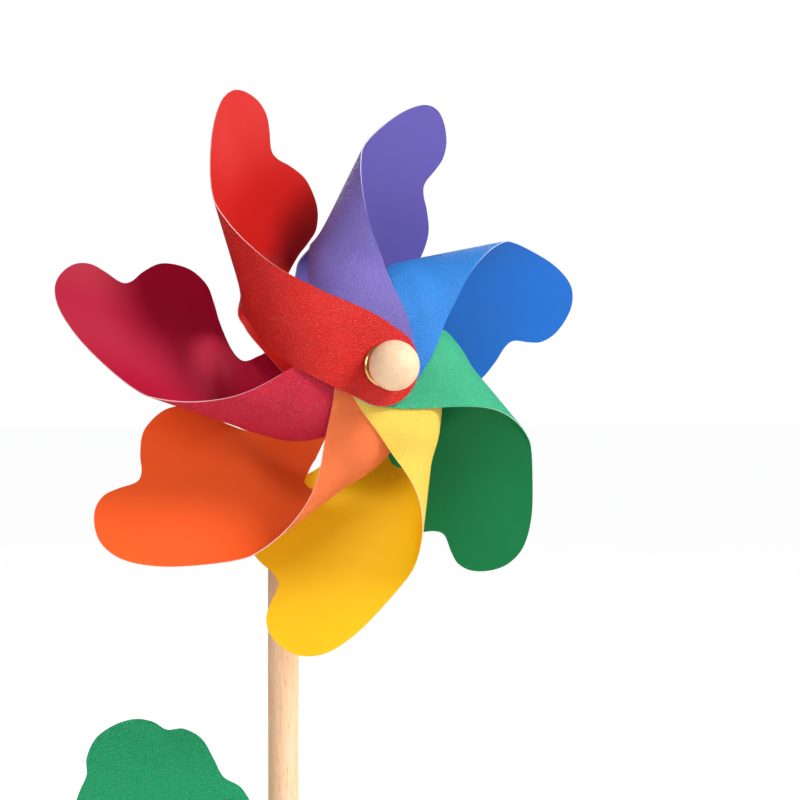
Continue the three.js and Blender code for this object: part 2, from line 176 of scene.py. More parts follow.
def mix_colour(tree, share, first, second):
    mixer = node(tree, "ShaderNodeMix", data_type="RGBA")
    for socket, value in ((mixer.inputs[0], share), (mixer.inputs[6], first), (mixer.inputs[7], second)):
        if isinstance(value, bpy.types.NodeSocket):
            tree.links.new(value, socket)
        else:
            socket.default_value = value
    return mixer.outputs[2]


def new_group(name, inputs, outputs):
    """An empty shader node group with float, vector or colour sockets."""
    tree = bpy.data.node_groups.new(name, "ShaderNodeTree")
    for sockets, way in ((inputs, "INPUT"), (outputs, "OUTPUT")):
        for label, kind in sockets.items():
            tree.interface.new_socket(label, in_out=way, socket_type=f"NodeSocket{kind}")
    return tree, tree.nodes.new("NodeGroupInput"), tree.nodes.new("NodeGroupOutput")


def use_group(tree, group, inputs):
    made = tree.nodes.new("ShaderNodeGroup")
    made.node_tree = group
    for key, value in inputs.items():
        if isinstance(value, bpy.types.NodeSocket):
            tree.links.new(value, made.inputs[key])
        else:
            made.inputs[key].default_value = value
    return made.outputs


def new_material(name, **constants):
    """A material with a Principled BSDF whose constant sockets are set by name."""
    material = bpy.data.materials.new(name)
    material.use_nodes = True
    shader = material.node_tree.nodes["Principled BSDF"]
    for key, value in constants.items():
        shader.inputs[key.replace("_", " ")].default_value = value
    return material, material.node_tree, shader


def bump(tree, height, depth_mm):
    return node(
        tree, "ShaderNodeBump", {"Height": height, "Distance": depth_mm * MM, "Strength": 1.0}
    ).outputs["Normal"]


# ---------------------------------------------------------------- shared surface effects
def make_leather_grain():
    """Small raised pebbles with fine creases between them, as pressed into plastic sheet."""
    tree, given, result = new_group(
        "leather grain",
        {"Vector": "Vector", "Pebbles per metre": "Float"},
        {"Glint": "Float", "Height": "Float"},
    )
    place = node(
        tree,
        "ShaderNodeVectorMath",
        {0: given.outputs["Vector"], "Scale": given.outputs["Pebbles per metre"]},
        operation="SCALE",
    ).outputs[0]
    drift = node(tree, "ShaderNodeTexNoise", {"Vector": place, "Scale": 0.7, "Detail": 2.0})
    warped = node(
        tree,
        "ShaderNodeVectorMath",
        {0: drift.outputs["Color"], 1: (0.9, 0.9, 0.9), 2: place},
        operation="MULTIPLY_ADD",
    ).outputs[0]
    cells = node(
        tree,
        "ShaderNodeTexVoronoi",
        {"Vector": warped, "Scale": 1.0, "Randomness": 1.0},
        feature="DISTANCE_TO_EDGE",
    )
    pebble = between(tree, cells.outputs["Distance"], 0.02, 0.3)
    fine = node(tree, "ShaderNodeTexNoise", {"Vector": place, "Scale": 2.3, "Detail": 3.0})
    height = math_node(tree, "MULTIPLY_ADD", fine.outputs["Fac"], 0.8)
    tree.links.new(pebble, height.node.inputs[2])
    # Glint marks small spots on the pebble tops where the sheet's colour gets a painted highlight,
    # standing in for sheen
    glint = math_node(tree, "MULTIPLY", pebble, between(tree, fine.outputs["Fac"], 0.52, 0.66))
    tree.links.new(glint, result.inputs["Glint"])
    tree.links.new(height, result.inputs["Height"])
    return tree


def make_wood_grain():
    """Fine fibres along the vector's Z, with short dark flecks and soft bands of tone."""
    tree, given, result = new_group(
        "wood grain",
        {"Vector": "Vector", "Fibres per metre": "Float", "Stretch": "Float"},
        {"Tone": "Float", "Fleck": "Float", "Height": "Float"},
    )
    stretch = node(tree, "ShaderNodeCombineXYZ", {"X": 1.0, "Y": 1.0, "Z": given.outputs["Stretch"]})
    narrowed = node(
        tree,
        "ShaderNodeVectorMath",
        {0: given.outputs["Vector"], 1: stretch.outputs[0]},
        operation="MULTIPLY",
    ).outputs[0]
    place = node(
        tree,
        "ShaderNodeVectorMath",
        {0: narrowed, "Scale": given.outputs["Fibres per metre"]},
        operation="SCALE",
    ).outputs[0]
    fibres = node(tree, "ShaderNodeTexNoise", {"Vector": place, "Scale": 1.0, "Detail": 4.0})
    bands = node(tree, "ShaderNodeTexNoise", {"Vector": place, "Scale": 0.16, "Detail": 3.0})
    tone = math_node(tree, "MULTIPLY_ADD", bands.outputs["Fac"], 0.7)
    share = math_node(tree, "MULTIPLY", fibres.outputs["Fac"], 0.3)
    tree.links.new(share, tone.node.inputs[2])
    flecks = node(tree, "ShaderNodeTexNoise", {"Vector": place, "Scale": 1.9, "Detail": 1.0})
    fleck = between(tree, flecks.outputs["Fac"], 0.62, 0.72)
    height = math_node(tree, "SUBTRACT", fibres.outputs["Fac"], fleck)
    tree.links.new(tone, result.inputs["Tone"])
    tree.links.new(fleck, result.inputs["Fleck"])
    tree.links.new(height, result.inputs["Height"])
    return tree


def make_turning_marks():
    """Fine rings left by a lathe round the axle's direction, Y."""
    tree, given, result = new_group(
        "turning marks", {"Vector": "Vector", "Rings per metre": "Float"}, {"Height": "Float"}
    )
    waves = node(
        tree,
        "ShaderNodeTexWave",
        {"Vector": given.outputs["Vector"], "Scale": 1.0, "Distortion": 0.4, "Detail": 2.0},
        wave_type="RINGS",
        rings_direction="Y",
    )
    tree.links.new(given.outputs["Rings per metre"], waves.inputs["Scale"])
    tree.links.new(waves.outputs["Fac"], result.inputs["Height"])
    return tree


LEATHER_GRAIN = make_leather_grain()
WOOD_GRAIN = make_wood_grain()
TURNING_MARKS = make_turning_marks()


# ---------------------------------------------------------------- materials
ALONG_Z, ALONG_Y = (0, 0, 0), (math.pi / 2, 0, 0)  # turns that lay the wood's fibres


def placed(tree, centre=(0, 0, 0), turn=(0, 0, 0)):
    """Object coordinates moved to a centre and turned, so that a pattern sits on its piece."""
    coordinates = node(tree, "ShaderNodeTexCoord").outputs["Object"]
    return node(
        tree,
        "ShaderNodeMapping",
        {"Vector": coordinates, "Location": centre, "Rotation": turn},
        vector_type="TEXTURE",
    ).outputs[0]


def on_blank(tree, shift):
    """Coordinates on the flat blank, in metres, shifted so that no two sheets match."""
    flat = node(tree, "ShaderNodeUVMap", uv_map="blank").outputs["UV"]
    return node(
        tree, "ShaderNodeMapping", {"Vector": flat, "Location": (shift, 2 * shift, shift)}
    ).outputs[0]


def embossed_sheet(name, colour, shift):
    """The sheet's outer face: a pressed leather grain, with small glints of painted highlight mixed into
    its colour.
    """
    material, tree, shader = new_material(name, Specular_IOR_Level=0.3)
    flat = on_blank(tree, shift)
    grain = use_group(tree, LEATHER_GRAIN, {"Vector": flat, "Pebbles per metre": 1300.0})
    cloud = node(tree, "ShaderNodeTexNoise", {"Vector": flat, "Scale": 22.0, "Detail": 2.0})
    shade = mix_colour(tree, cloud.outputs["Fac"], paint(colour), paint(colour, 0.006))
    # painted highlight: at the glint spots the colour is mixed towards white
    painted_glint_colour = mix_colour(tree, grain["Glint"], shade, paint(colour, 0.14))
    tree.links.new(painted_glint_colour, shader.inputs["Base Color"])
    tree.links.new(between(tree, grain["Glint"], 0, 1, 0.5, 0.3), shader.inputs["Roughness"])
    tree.links.new(bump(tree, grain["Height"], 0.26), shader.inputs["Normal"])
    return material


def smooth_sheet(name, colour, shift):
    """The sheet's inner face: plain satin plastic with a faint unevenness."""
    material, tree, shader = new_material(name, Specular_IOR_Level=0.16)
    flat = on_blank(tree, shift)
    cloud = node(tree, "ShaderNodeTexNoise", {"Vector": flat, "Scale": 18.0, "Detail": 3.0})
    shade = mix_colour(tree, cloud.outputs["Fac"], paint(colour), paint(colour, 0.006))
    tree.links.new(shade, shader.inputs["Base Color"])
    tree.links.new(between(tree, cloud.outputs["Fac"], 0.3, 0.7, 0.46, 0.54), shader.inputs["Roughness"])
    return material


def cut_edge(name, colour, shift):
    """The sheet's cut edge, painted paler as a painted highlight: the thin bright line of light that the
    translucent edge catches.
    """
    material, tree, shader = new_material(name, Specular_IOR_Level=0.5)
    flat = on_blank(tree, shift)
    nicks_and_highlight_noise = node(tree, "ShaderNodeTexNoise", {"Vector": flat, "Scale": 300.0, "Detail": 3.0})
    # painted highlight: the edge's colour is mixed unevenly a quarter to half way towards white
    shade = mix_colour(tree, nicks_and_highlight_noise.outputs["Fac"], paint(colour, 0.25), paint(colour, 0.5))
    tree.links.new(shade, shader.inputs["Base Color"])
    tree.links.new(between(tree, nicks_and_highlight_noise.outputs["Fac"], 0.3, 0.7, 0.4, 0.6), shader.inputs["Roughness"])
    return material


def beech(name, centre, turn=ALONG_Z, pale="#f3cfac", dark="#ecc5a0", fleck="#e2b58c"):
    """Sanded, unvarnished beech with its fibres along the turned Z direction."""
    material, tree, shader = new_material(name, Specular_IOR_Level=0.35)
    grain = use_group(
        tree,
        WOOD_GRAIN,
        {"Vector": placed(tree, centre, turn), "Fibres per metre": 1500.0, "Stretch": 0.06},
    )
    shade = mix_colour(tree, between(tree, grain["Tone"], 0.35, 0.65), paint(pale), paint(dark))
    flecked = mix_colour(tree, grain["Fleck"], shade, paint(fleck))
    tree.links.new(flecked, shader.inputs["Base Color"])
    tree.links.new(between(tree, grain["Tone"], 0.3, 0.7, 0.5, 0.6), shader.inputs["Roughness"])
    tree.links.new(bump(tree, grain["Height"], 0.02), shader.inputs["Normal"])
    return material


def metal(name, centre, colour, dull, rings=900.0):
    """Turned metal with fine rings round the axle."""
    material, tree, shader = new_material(name, Metallic=1.0)
    place = placed(tree, centre)
    smears = node(tree, "ShaderNodeTexNoise", {"Vector": place, "Scale": 260.0, "Detail": 4.0})
    shade = mix_colour(tree, smears.outputs["Fac"], paint(colour), paint(colour, 0.12))
    tree.links.new(shade, shader.inputs["Base Color"])
    tree.links.new(
        between(tree, smears.outputs["Fac"], 0.3, 0.7, dull, dull + 0.1), shader.inputs["Roughness"]
    )
    marks = use_group(tree, TURNING_MARKS, {"Vector": place, "Rings per metre": rings})
    tree.links.new(bump(tree, marks["Height"], 0.004), shader.inputs["Normal"])
    return material


def nylon(name, centre):
    """Pale moulded nylon of the small washers."""
    material, tree, shader = new_material(name, Specular_IOR_Level=0.5)
    place = placed(tree, centre)
    cloud = node(tree, "ShaderNodeTexNoise", {"Vector": place, "Scale": 300.0, "Detail": 3.0})
    shade = mix_colour(tree, cloud.outputs["Fac"], paint("#f3ece0"), paint("#e2d6c4"))
    tree.links.new(shade, shader.inputs["Base Color"])
    tree.links.new(between(tree, cloud.outputs["Fac"], 0.3, 0.7, 0.38, 0.5), shader.inputs["Roughness"])
    marks = use_group(tree, TURNING_MARKS, {"Vector": place, "Rings per metre": 500.0})
    tree.links.new(bump(tree, marks["Height"], 0.006), shader.inputs["Normal"])
    return material


# ---------------------------------------------------------------- mesh helpers
def make_piece(name, mesh, materials, body, cad_nodes, sharp_angle=35):
    """Puts a finished mesh in the scene as a piece that stands for CAD nodes and rides a body."""
    for index, material in enumerate(materials):
        if index < len(mesh.materials):
            mesh.materials[index] = material
        else:
            mesh.materials.append(material)
    mesh.shade_smooth()
    mesh.set_sharp_from_angle(angle=math.radians(sharp_angle))
    piece = bpy.data.objects.new(name, mesh)
    bpy.context.scene.collection.objects.link(piece)
    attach(piece, body)
    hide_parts(*cad_nodes)
    return piece


def to_mesh(bm, name):
    mesh = bpy.data.meshes.new(name)
    bm.to_mesh(mesh)
    bm.free()
    return mesh


def with_modifiers(mesh, add_modifiers):
    """The mesh after the modifiers that a function adds to a passing object."""
    passing = bpy.data.objects.new("passing", mesh)
    bpy.context.scene.collection.objects.link(passing)
    add_modifiers(passing)
    evaluated = passing.evaluated_get(bpy.context.evaluated_depsgraph_get())
    finished = bpy.data.meshes.new_from_object(evaluated)
    bpy.data.objects.remove(passing)
    return finished


def close_and_face_outwards(bm, distance=1e-6):
    bmesh.ops.remove_doubles(bm, verts=bm.verts[:], dist=distance)
    bmesh.ops.dissolve_degenerate(bm, dist=distance, edges=bm.edges[:])
    bmesh.ops.recalc_face_normals(bm, faces=bm.faces[:])


def soften(bm, offset, segments=3, sharper_than=40):
    """Rounds every edge of a closed shape that is sharper than an angle."""
    sharp = [
        edge for edge in bm.edges
        if edge.is_manifold and edge.calc_face_angle(0) > math.radians(sharper_than)
    ]
    bmesh.ops.bevel(
        bm,
        geom=sharp,
        offset=offset,
        offset_type="OFFSET",
        segments=segments,
        profile=0.5,
        affect="EDGES",
        material=-1,
        clamp_overlap=True,
    )


def turned(profile, centre, axis=(0, 1, 0), steps=64, rounding=0.2 * MM):
    """A solid of revolution. Each profile point is (radius, place along the axis)."""
    bm = bmesh.new()
    along = Vector(axis)
    outwards = Vector((1, 0, 0))
    points = [bm.verts.new(outwards * radius + along * place) for radius, place in profile]
    chain = [bm.edges.new(pair) for pair in zip(points, points[1:])]
    if profile[0][0] > 1e-6:
        chain.append(bm.edges.new((points[-1], points[0])))
    bmesh.ops.spin(
        bm,
        geom=points + chain,
        cent=(0, 0, 0),
        axis=axis,
        angle=2 * math.pi,
        steps=steps,
        use_merge=True,
    )
    close_and_face_outwards(bm)
    if rounding:
        soften(bm, rounding)
    bmesh.ops.translate(bm, verts=bm.verts[:], vec=centre)
    return bm


def arc(radius, along, start, end, steps):
    """Profile points of a ball whose centre is on the axis, swept between two angles."""
    points = []
    for i in range(steps + 1):
        angle = math.radians(start + (end - start) * i / steps)
        points.append((radius * math.sin(angle), along - radius * math.cos(angle)))
    return points


def span(name):
    """Front, back and radius of a CAD node on the axle."""
    low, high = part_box(name)
    return low[1], high[1], (high[0] - low[0]) / 2


# ---------------------------------------------------------------- flat blanks
def through(points, steps=6):
    """Points of a smooth curve through the given points, without its last point."""
    curve = []
    last = len(points) - 1
    for i in range(last):
        before, start = Vector(points[max(i - 1, 0)]), Vector(points[i])
        end, after = Vector(points[i + 1]), Vector(points[min(i + 2, last)])
        for j in range(steps):
            t = j / steps
            push, pull = (end - before) / 2, (after - start) / 2
            curve.append(
                (2 * start - 2 * end + push + pull) * t ** 3
                + (3 * end - 3 * start - 2 * push - pull) * t ** 2
                + push * t
                + start
            )
    return curve


def round_points(centre, radius, start, end, steps):
    """Points of an arc, without its last point."""
    turn = (end - start) / steps
    angles = [math.radians(start + turn * i) for i in range(steps)]
    return [Vector((centre[0] + radius * math.cos(a), centre[1] + radius * math.sin(a))) for a in angles]


def add_loop(bm, points):
    corners = [bm.verts.new((point[0], point[1], 0)) for point in points]
    return [bm.edges.new((a, b)) for a, b in zip(corners, corners[1:] + corners[:1])]


def gridded_sheet(loops, cell_across, cell_along):
    """A flat sheet inside closed loops, the first its outline and the others its holes, cut
    into square cells."""
    bm = bmesh.new()
    for points in loops:
        add_loop(bm, points)
    bmesh.ops.triangle_fill(bm, use_beauty=True, use_dissolve=False, edges=bm.edges[:], normal=(0, 0, 1))
    for index, cell in ((0, cell_across), (1, cell_along)):
        places = [vert.co[index] for vert in bm.verts]
        normal = Vector((0, 0, 0))
        normal[index] = 1
        for step in range(math.ceil(min(places) / cell), math.floor(max(places) / cell) + 1):
            bmesh.ops.bisect_plane(
                bm,
                geom=bm.verts[:] + bm.edges[:] + bm.faces[:],
                dist=0.02,
                plane_co=normal * (step * cell),
                plane_no=normal,
            )
    slanting = []
    for edge in bm.edges:
        run = edge.verts[0].co - edge.verts[1].co
        if not edge.is_boundary and min(abs(run.x), abs(run.y)) > 0.03:
            slanting.append(edge)
    bmesh.ops.dissolve_edges(bm, edges=slanting, use_verts=False, use_face_split=False)
    spare = [v for v in bm.verts if len(v.link_edges) == 2 and not v.is_boundary]
    bmesh.ops.dissolve_verts(bm, verts=spare)
    flat = bm.loops.layers.uv.new("blank")
    for face in bm.faces:
        if face.normal.z < 0:
            face.normal_flip()
        for corner in face.loops:
            corner[flat].uv = (corner.vert.co.x * MM, corner.vert.co.y * MM)
    return bm


def give_thickness(mesh, thickness):
    """Solid sheet with its faces on slot 0, its other side on slot 1 and its edge on slot 2."""
    def add_modifiers(passing):
        wall = passing.modifiers.new("wall", "SOLIDIFY")
        wall.thickness = thickness * MM
        wall.offset = 0
        wall.material_offset = 1
        wall.material_offset_rim = 2
    for _ in ("front", "back", "edge"):
        mesh.materials.append(None)
    return with_modifiers(mesh, add_modifiers)


# ---------------------------------------------------------------- petals
def bezier(points, steps=60):
    a, b, c, d = (Vector(point) for point in points)
    for i in range(1, steps + 1):
        t = i / steps
        yield a * (1 - t) ** 3 + b * 3 * t * (1 - t) ** 2 + c * 3 * t * t * (1 - t) + d * t ** 3


def unroll(points):
    """Arc length against place for a chain of points that starts at the tab's run-out."""
    table = [(-TAB_RUN_OUT, Vector(points[0]))]
    for point in points[1:]:
        length, last = table[-1]
        table.append((length + (Vector(point) - last).length, Vector(point)))
    return table


def on_section(table, length):
    index = 1
    while index < len(table) - 1 and table[index][0] < length:
        index += 1
    (start, before), (end, after) = table[index - 1], table[index]
    return before.lerp(after, (length - start) / (end - start))


FRONT_HALF = [
    (-TAB_RUN_OUT, 0),
    (TAB_FLAT, 0),
    *bezier([
        (TAB_FLAT, 0), (TAB_FLAT + 12, 0), (FOLD_REACH, FOLD_DEPTH - 10), (FOLD_REACH, FOLD_DEPTH)
    ]),
]
WING_SECTION = unroll([
    *FRONT_HALF,
    *bezier([
        (FOLD_REACH, FOLD_DEPTH),
        (FOLD_REACH, FOLD_DEPTH + 8),
        (WING_END_REACH + 28, WING_END_DEPTH - 9),
        (WING_END_REACH, WING_END_DEPTH),
    ]),
])
REAR_TAB_SECTION = unroll([
    *FRONT_HALF,
    *bezier([
        (FOLD_REACH, FOLD_DEPTH),
        (FOLD_REACH, WHEEL_DEPTH - 12),
        (REAR_FLAT + 10, WHEEL_DEPTH),
        (REAR_FLAT, WHEEL_DEPTH),
    ]),
    (-TAB_RUN_OUT, WHEEL_DEPTH),
])
FOLD_LENGTH = unroll(FRONT_HALF)[-1][0]
REAR_HOLE = REAR_TAB_SECTION[-1][0] - TAB_RUN_OUT


def smooth_step(value, low, high):
    share = min(max((value - low) / (high - low), 0), 1)
    return share * share * (3 - 2 * share)


def curl(across, along):
    """Where a point of the flat blank lies once the petal is curled."""
    tab = on_section(REAR_TAB_SECTION, across)
    wing = on_section(WING_SECTION, across)
    reach, depth = tab.lerp(wing, smooth_step(along, TAB_SECTION_ENDS, WING_SECTION_STARTS))
    in_front = 1 - smooth_step(across, FOLD_LENGTH, FOLD_LENGTH + LEAN_FADE)
    lean = LEAN_BACK * in_front * smooth_step(along, LEAN_START, LEAN_FULL)
    return Vector((-reach, depth + lean, along))


def petal_outline():
    tab_start = 90 + STRIP_ANGLE
    corner = math.radians(tab_start)
    return [
        *round_points((0, 0), TAB_RADIUS, tab_start, tab_start + 180, 40),
        Vector((TAB_RADIUS * math.cos(corner + math.pi), TAB_RADIUS * math.sin(corner + math.pi))),
        *round_points((RELIEF["across"], RELIEF["along"]), RELIEF["radius"], 169, 10, 36),
        *round_points((REAR_HOLE, 0), TAB_RADIUS, 190, 383, 44),
        *through([*TRAILING_EDGE, (TAB_RADIUS * math.cos(corner), TAB_RADIUS * math.sin(corner))]),
    ]


def make_curled_sheet():
    """One petal round the origin, its tip along Z, solid and with its blank's coordinates."""
    bm = gridded_sheet(
        [
            petal_outline(),
            round_points((0, 0), BORE, 0, 360, 24),
            round_points((REAR_HOLE, 0), BORE, 0, 360, 24),
        ],
        cell_across=1.5,
        cell_along=2.5,
    )
    for vert in bm.verts:
        vert.co = curl(vert.co.x, vert.co.y) * MM
    bmesh.ops.reverse_faces(bm, faces=bm.faces[:])
    return give_thickness(to_mesh(bm, "curled_sheet"), SHEET)


def make_petals():
    curled = make_curled_sheet()
    for index, (name, (outer, inner, turn)) in enumerate(PETALS.items()):
        mesh = curled.copy()
        tip_angle = FIRST_PETAL_ANGLE + turn - 360 * index / len(PETALS)
        lies_at = (SHEET / 2 + index * (SHEET + PETAL_GAP)) * MM
        mesh.transform(
            Matrix.Translation(HUB + Vector((0, lies_at, 0)))
            @ Matrix.Rotation(math.radians(90 - tip_angle), 4, "Y")
        )
        # the outer colour holds painted sheen and the inner colour painted shade of the same plastic
        # sheet
        materials = [
            embossed_sheet(f"{name} embossed sheet", outer, index),
            smooth_sheet(f"{name} smooth sheet", inner, index),
            cut_edge(f"{name} cut edge", outer, index),
        ]
        cad_node = f"petal_{name}"
        make_piece(f"{name}_petal", mesh, materials, WHEEL, [cad_node])


# ---------------------------------------------------------------- pieces on the axle
def make_knob():
    _, back, radius = span("front_knob")
    centre = back - math.sqrt(radius ** 2 - (KNOB_SEAT * MM) ** 2)
    seat_angle = math.degrees(math.acos((centre - back) / radius))
    bore_end = back - KNOB_BORE_DEPTH * MM
    profile = [
        *arc(radius, centre, 0, seat_angle, 28),
        (BORE * MM, back),
        (BORE * MM, bore_end),
        (0, bore_end),
    ]
    bm = turned(profile, ON_AXLE, rounding=0.35 * MM)
    wood = beech("knob beech", (0, centre, HUB.z), ALONG_Y)
    make_piece("knob", to_mesh(bm, "knob"), [wood], WHEEL, ["front_knob"])


def make_front_washer():
    front, back, radius = span("front_washer")
    roll = WASHER_ROLL * MM
    profile = [
        (BORE * MM, front + 0.3 * MM),
        (radius - 2.2 * MM, front + 0.3 * MM),
        (radius - 1.7 * MM, front),
        (radius - roll, front),
        *[
            (
                radius - roll + roll * math.sin(math.radians(angle)),
                front + roll - roll * math.cos(math.radians(angle)),
            )
            for angle in range(15, 91, 15)
        ],
        (radius, back),
        (BORE * MM, back),
    ]
    bm = turned(profile, ON_AXLE, steps=72, rounding=0.15 * MM)
    brass = metal("polished brass", (0, front, HUB.z), "#d9a55c", 0.12)
    mesh = to_mesh(bm, "brass_washer")
    make_piece("brass_washer", mesh, [brass], WHEEL, ["front_washer"])


def make_small_washers():
    bodies = {
        "front_inner_washer": WHEEL,
        "rear_inner_washer": WHEEL,
        "rear_outer_washer": WHEEL,
        "stick_washer": STICK,
    }
    for cad_node, body in bodies.items():
        front, back, radius = span(cad_node)
        profile = [(BORE * MM, front), (radius, front), (radius, back), (BORE * MM, back)]
        bm = turned(profile, ON_AXLE, rounding=0.3 * MM)
        name = f"nylon_{cad_node}"
        pale = nylon(name.replace("_", " "), (0, front, HUB.z))
        make_piece(name, to_mesh(bm, name), [pale], body, [cad_node])


def make_spacer():
    front, back, radius = span("hub_spacer")
    profile = [(BORE * MM, front), (radius, front), (radius, back), (BORE * MM, back)]
    bm = turned(profile, ON_AXLE, rounding=0.5 * MM)
    wood = beech("spacer beech", (0, front, HUB.z), ALONG_Y, "#c99a6b", "#a8713f", "#8f5c30")
    make_piece("spacer_tube", to_mesh(bm, "spacer_tube"), [wood], WHEEL, ["hub_spacer"])


def make_bead():
    front, back, radius = span("stand_off_bead")
    steps = 24
    barrel = []
    for i in range(steps + 1):
        share = 2 * i / steps - 1
        bulge = (radius - BEAD_END * MM) * (1 - share ** 2)
        barrel.append((BEAD_END * MM + bulge, front + (back - front) * i / steps))
    bm = turned([(BORE * MM, front), *barrel, (BORE * MM, back)], ON_AXLE, rounding=0.5 * MM)
    wood = beech("bead beech", (0, front, HUB.z), ALONG_Y)
    make_piece("bead", to_mesh(bm, "bead"), [wood], STICK, ["stand_off_bead"])


def make_axle():
    front, back, radius = span("axle")
    profile = [(0, front), (radius, front), (radius, back), (0, back)]
    bm = turned(profile, ON_AXLE, steps=40, rounding=0.4 * MM)
    steel = metal("drawn steel", (0, front, HUB.z), "#b6b9bd", 0.28, rings=300.0)
    make_piece("axle_rod", to_mesh(bm, "axle_rod"), [steel], WHEEL, ["axle"])


def make_cap():
    front, _, radius = span("axle_cap")
    centre = front + math.sqrt(radius ** 2 - (CAP_SEAT * MM) ** 2)
    seat_angle = math.degrees(math.acos((centre - front) / radius))
    bore_end = front + CAP_BORE_DEPTH * MM
    profile = [
        (0, bore_end),
        (BORE * MM, bore_end),
        (BORE * MM, front),
        *arc(radius, centre, seat_angle, 180, 24),
    ]
    bm = turned(profile, ON_AXLE, rounding=0.3 * MM)
    wood = beech("cap beech", (0, centre, HUB.z), ALONG_Y)
    make_piece("cap", to_mesh(bm, "cap"), [wood], WHEEL, ["axle_cap"])


# ---------------------------------------------------------------- stick, leaf and pins
LEAF_PLANE = Matrix.Rotation(math.radians(-LEAF_TURN), 4, "Z")
UPRIGHT_TO_DEPTH = Matrix.Rotation(math.pi / 2, 3, "X")
PINS = ("leaf_pin_lower", "leaf_pin_upper")
PIN_SET_IN = 3.9  # from the stick's middle
PIN_BORE = 1.1
PIN_SHAFT, PIN_HEAD, PIN_HEAD_THICKNESS = 0.8, 1.6, 0.6
PIN_HALF_LENGTH = 5.2


def pin_height(name):
    low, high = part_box(name)
    return (low[2] + high[2]) / 2


def cutter(name, bm):
    """A solid that cuts a slot or a bore."""
    bmesh.ops.recalc_face_normals(bm, faces=bm.faces[:])
    bmesh.ops.transform(bm, matrix=LEAF_PLANE, verts=bm.verts[:])
    tool = bpy.data.objects.new(name, to_mesh(bm, name))
    bpy.context.scene.collection.objects.link(tool)
    return tool


def pin_cutter(name, height, length):
    bm = bmesh.new()
    bmesh.ops.create_cone(
        bm, cap_ends=True, segments=24, radius1=PIN_BORE * MM, radius2=PIN_BORE * MM, depth=length
    )
    bmesh.ops.rotate(bm, verts=bm.verts[:], matrix=UPRIGHT_TO_DEPTH)
    bmesh.ops.translate(bm, verts=bm.verts[:], vec=(-PIN_SET_IN * MM, 0, height))
    return cutter(name, bm)


def cut_away(mesh, tools):
    """The mesh with the cutters' shapes taken out of it; the cutters are then thrown away."""
    def add_modifiers(passing):
        for tool in tools:
            cut = passing.modifiers.new(tool.name, "BOOLEAN")
            cut.operation = "DIFFERENCE"
            cut.solver = "EXACT"
            cut.object = tool
    result = with_modifiers(mesh, add_modifiers)
    for tool in tools:
        bpy.data.objects.remove(tool)
    return result


def make_stick():
    low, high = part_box("stick")
    radius = (high[1] - low[1]) / 2
    top = high[2]
    tapered = STICK_END[-1][1] * MM
    straight = top - tapered - 1 * MM
    profile = [
        *[(reach * MM, height * MM) for reach, height in STICK_END],
        *[(radius, tapered + straight * i / STICK_LENGTHS) for i in range(1, STICK_LENGTHS + 1)],
        (radius - 0.35 * MM, top - 0.3 * MM), (radius - 1 * MM, top), (0, top),
    ]
    bm = turned(profile, (0, 0, 0), axis=(0, 0, 1), steps=72, rounding=0)
    slot_height = (LEAF_EDGE_HEIGHT + 2 * SLOT_RUN_OUT) * MM
    slot_width = (LEAF_SHEET + 2 * SLOT_GAP) * MM
    slot = bmesh.new()
    bmesh.ops.create_cube(slot, size=1)
    bmesh.ops.scale(slot, verts=slot.verts[:], vec=(24 * MM, slot_width, slot_height))
    slot_middle = (LEAF_BOTTOM + LEAF_EDGE_HEIGHT / 2) * MM
    bmesh.ops.translate(slot, verts=slot.verts[:], vec=(-10.8 * MM, 0, slot_middle))
    axle_bore = bmesh.new()
    bmesh.ops.create_cone(
        axle_bore, cap_ends=True, segments=32, radius1=BORE * MM, radius2=BORE * MM, depth=30 * MM
    )
    bmesh.ops.rotate(axle_bore, verts=axle_bore.verts[:], matrix=UPRIGHT_TO_DEPTH)
    bmesh.ops.translate(axle_bore, verts=axle_bore.verts[:], vec=ON_AXLE)
    bmesh.ops.transform(axle_bore, matrix=LEAF_PLANE.inverted(), verts=axle_bore.verts[:])
    tools = [cutter("leaf slot", slot), cutter("axle bore", axle_bore)]
    for name in PINS:
        tools.append(pin_cutter(f"{name} bore", pin_height(name), 30 * MM))
    mesh = cut_away(to_mesh(bm, "dowel"), tools)
    wood = beech("dowel beech", (0.013, 0.004, 0), pale="#efc8a4", dark="#e0b28b", fleck="#cf9c6c")
    make_piece("dowel", mesh, [wood], STICK, ["stick"])


def make_leaf():
    outline = [
        Vector((LEAF_INNER_EDGE, 0)),
        *through([(LEAF_INNER_EDGE, LEAF_EDGE_HEIGHT), *LEAF_EDGE, (LEAF_INNER_EDGE, 0)]),
    ]
    bm = gridded_sheet([outline[1:]], cell_across=4, cell_along=4)
    for vert in bm.verts:
        vert.co = Vector((-vert.co.x, 0, LEAF_BOTTOM + vert.co.y)) * MM
    mesh = give_thickness(to_mesh(bm, "leaf_blade"), LEAF_SHEET)
    mesh.transform(LEAF_PLANE)
    tools = [pin_cutter(f"{name} hole", pin_height(name), 4 * MM) for name in PINS]
    mesh = cut_away(mesh, tools)
    green = "#00a066"
    materials = [
        embossed_sheet("leaf embossed sheet", green, 9),
        embossed_sheet("leaf back sheet", green, 10),
        cut_edge("leaf cut edge", green, 9),
    ]
    make_piece("leaf_blade", mesh, materials, STICK, ["leaf"])


